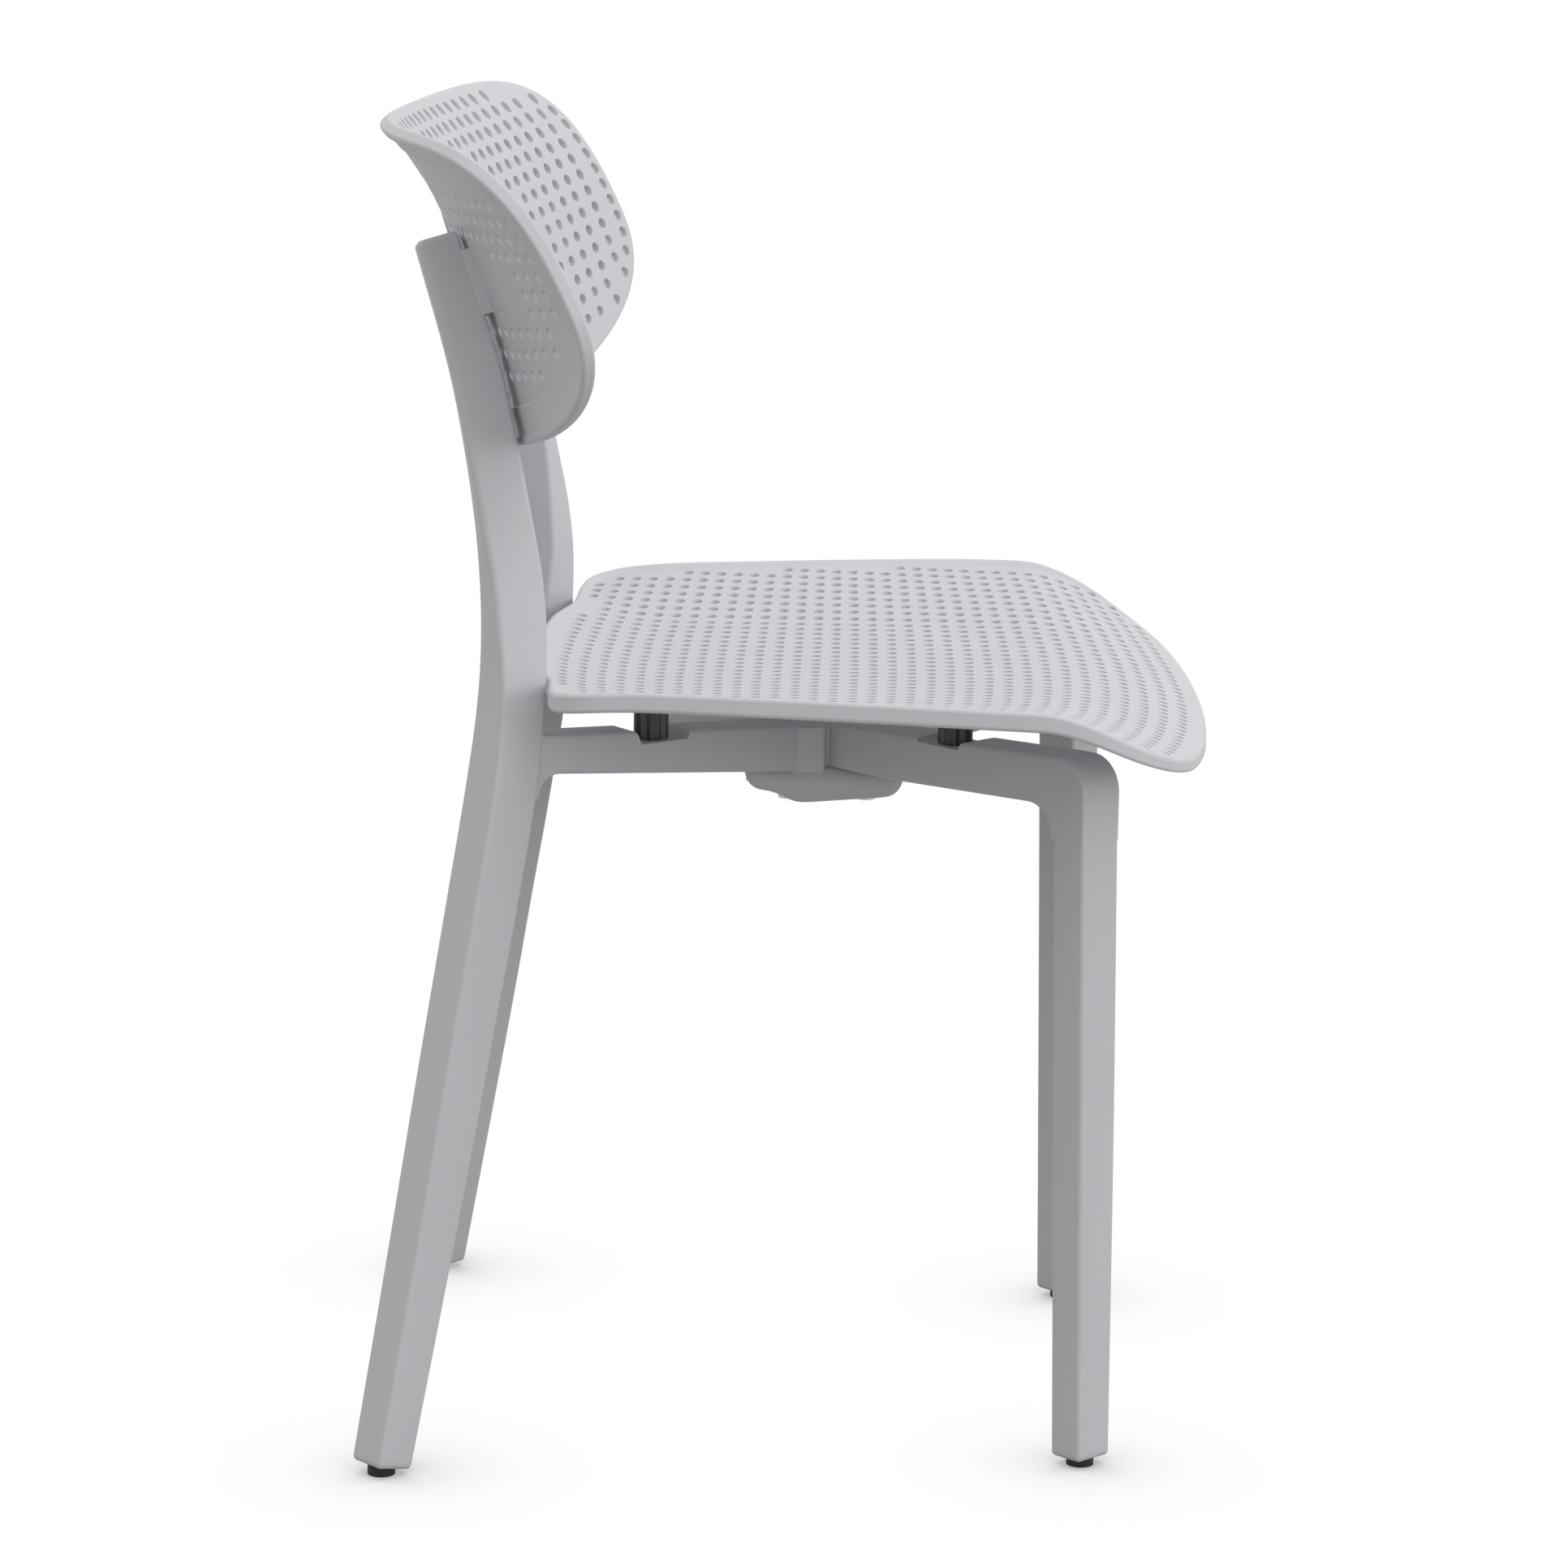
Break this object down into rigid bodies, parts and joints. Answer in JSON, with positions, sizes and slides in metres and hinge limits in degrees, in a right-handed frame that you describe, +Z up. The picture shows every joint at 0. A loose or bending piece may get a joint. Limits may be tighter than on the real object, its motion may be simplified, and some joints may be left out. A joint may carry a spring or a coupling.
{
  "type": "nesting chair",
  "caption": "Armless plastic nesting chair: crossed leg frames meeting in a central hub, a dished perforated seat and a curved perforated back.",
  "frame": {"origin": "on the floor, under the middle of the chair's bounding box", "axes": "+X the way a sitter faces, +Y to the sitter's left, +Z up"},
  "size_m": [0.485, 0.4924, 0.7566],
  "materials": {
    "frame_plastic": "fine moulded grain, light neutral grey",
    "shell_plastic": "fine moulded grain, light neutral grey",
    "post_plastic": "satin, dark grey, ribbed",
    "glide_plastic": "matt black",
    "steel": "zinc plated",
    "brass": "turned, knurled"
  },
  "bodies": {
    "root": {"rear_frame": "frame_plastic", "front_frame": "frame_plastic", "seat_shell": "shell_plastic", "back_shell": "shell_plastic", "back_block_left": "frame_plastic", "back_block_right": "frame_plastic", "back_clip_left": "shell_plastic", "back_clip_right": "shell_plastic", "back_screw_upper_left": "steel", "back_screw_lower_left": "steel", "back_screw_upper_right": "steel", "back_screw_lower_right": "steel", "seat_post_rear_left": "post_plastic", "seat_post_rear_right": "post_plastic", "seat_post_front_left": "post_plastic", "seat_post_front_right": "post_plastic", "seat_screw_rear_left": "steel", "seat_screw_rear_right": "steel", "seat_screw_front_left": "steel", "seat_screw_front_right": "steel", "seat_insert_rear_left": "brass", "seat_insert_rear_right": "brass", "seat_insert_front_left": "brass", "seat_insert_front_right": "brass", "hub_bolt_rear_left": "steel", "hub_bolt_rear_right": "steel", "hub_bolt_front_left": "steel", "hub_bolt_front_right": "steel", "hub_insert_rear_left": "brass", "hub_insert_rear_right": "brass", "hub_insert_front_left": "brass", "hub_insert_front_right": "brass", "glide_rear_left": "glide_plastic", "glide_rear_right": "glide_plastic", "glide_front_left": "glide_plastic", "glide_front_right": "glide_plastic"}
  },
  "joints": []
}
